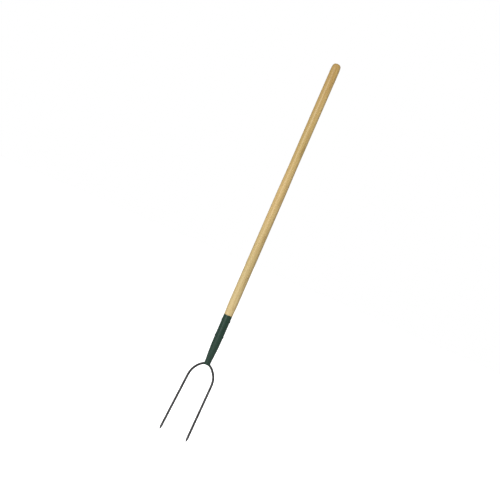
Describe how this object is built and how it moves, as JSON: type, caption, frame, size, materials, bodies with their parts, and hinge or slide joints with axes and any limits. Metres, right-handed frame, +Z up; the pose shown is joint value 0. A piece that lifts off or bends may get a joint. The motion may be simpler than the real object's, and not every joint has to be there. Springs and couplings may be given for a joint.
{
  "type": "hay fork",
  "caption": "Long-handled hay fork: round ash shaft with a domed end, tapered painted steel ferrule, and a thin round-bar bow with straight pointed tines.",
  "frame": {"origin": "centre of the parallel hand grip at the top of the shaft, on the shaft's axis", "axes": "+Z up the shaft to its domed end, +X to the right, +Y to the back; the tines point down and lean forward towards -Y"},
  "size_m": [0.1222, 0.0777, 1.5586],
  "materials": {
    "ash_wood": "satin",
    "green_paint": "satin",
    "forged_steel": "satin",
    "painted_rivet": "satin"
  },
  "bodies": {
    "root": {"handle": "ash_wood", "ferrule": "green_paint", "fork_head": "forged_steel", "ferrule_rivet": "painted_rivet", "tang_rivet": "painted_rivet"}
  },
  "joints": []
}
